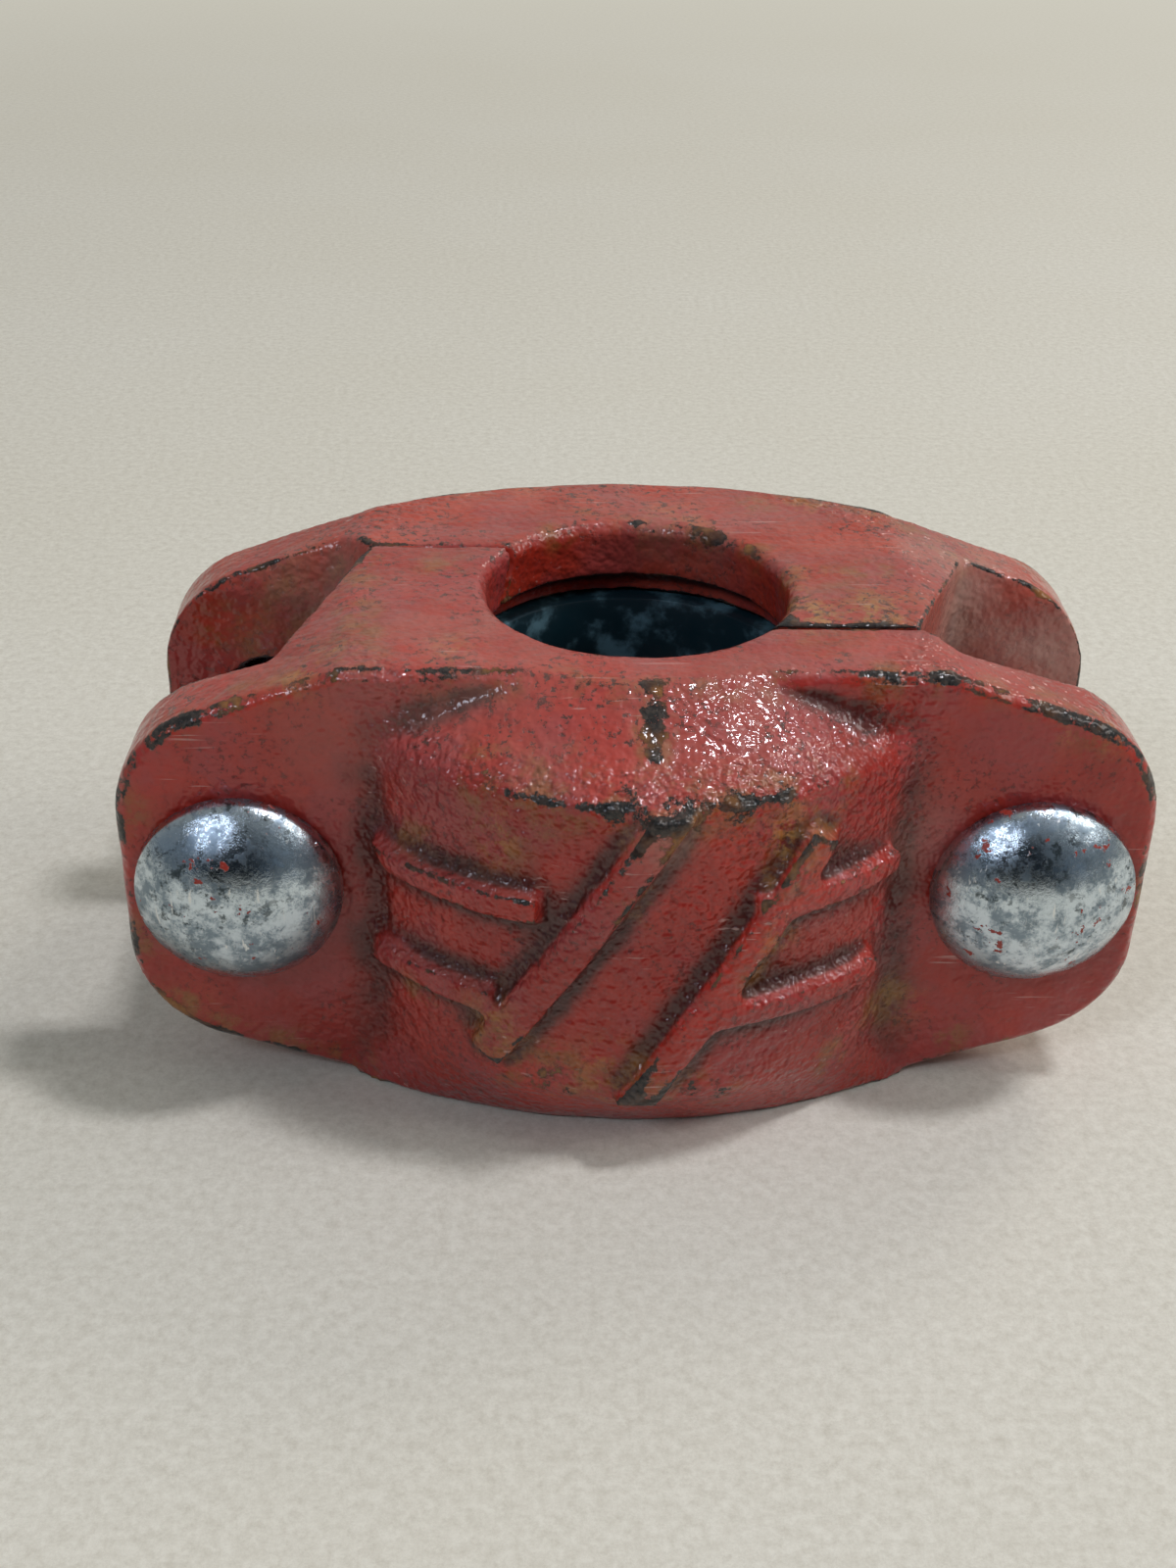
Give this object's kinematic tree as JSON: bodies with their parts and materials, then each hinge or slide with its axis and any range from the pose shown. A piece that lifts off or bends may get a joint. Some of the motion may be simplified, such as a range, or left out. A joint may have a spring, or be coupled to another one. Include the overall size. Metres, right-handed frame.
{
  "type": "rigid pipe coupling",
  "caption": "Bolted split clamp with angled joint faces that holds two grooved pipe ends rigidly together over a rubber gasket.",
  "frame": {"origin": "centre of the bottom of the whole coupling, on the side face it rests on, in line with the pipe axis", "axes": "+Z along the pipe axis, X along the line of the bolts, bolt heads and front half at -Y, nuts and rear half at +Y"},
  "size_m": [0.102, 0.0686, 0.0476],
  "materials": {
    "red_enamel_front": "glossy red enamel on cast iron, chipped and rust-stained at the edges",
    "red_enamel_rear": "glossy red enamel on cast iron, chipped and rust-stained at the edges",
    "black_rubber": "satin black rubber with pale dust",
    "zinc_plate": "worn bright zinc plate with specks of red paint",
    "zinc_nut": "worn zinc plate"
  },
  "bodies": {
    "front": {"front_housing": "red_enamel_front", "gasket": "black_rubber", "left_bolt": "zinc_plate", "right_bolt": "zinc_plate"},
    "rear": {"rear_housing": "red_enamel_rear"},
    "nut_left": {"left_nut": "zinc_nut"},
    "nut_right": {"right_nut": "zinc_nut"}
  },
  "joints": [
    {"name": "rear_slide", "type": "slide", "parent": "front", "child": "rear", "axis": [0, 1, 0], "range_m": [0, 0.002]},
    {"name": "left_nut_turn", "type": "hinge", "parent": "rear", "child": "nut_left", "pos_m": [-0.03915, 0.0198, 0.0238], "axis": [0, 1, 0], "range_deg": [0, 480]},
    {"name": "right_nut_turn", "type": "hinge", "parent": "rear", "child": "nut_right", "pos_m": [0.03915, 0.0198, 0.0238], "axis": [0, 1, 0], "range_deg": [0, 480]}
  ],
  "couplings": [
    {"joint": "left_nut_turn", "follows": "rear_slide", "rad_per_m": 4188.8},
    {"joint": "right_nut_turn", "follows": "rear_slide", "rad_per_m": 4188.8}
  ]
}
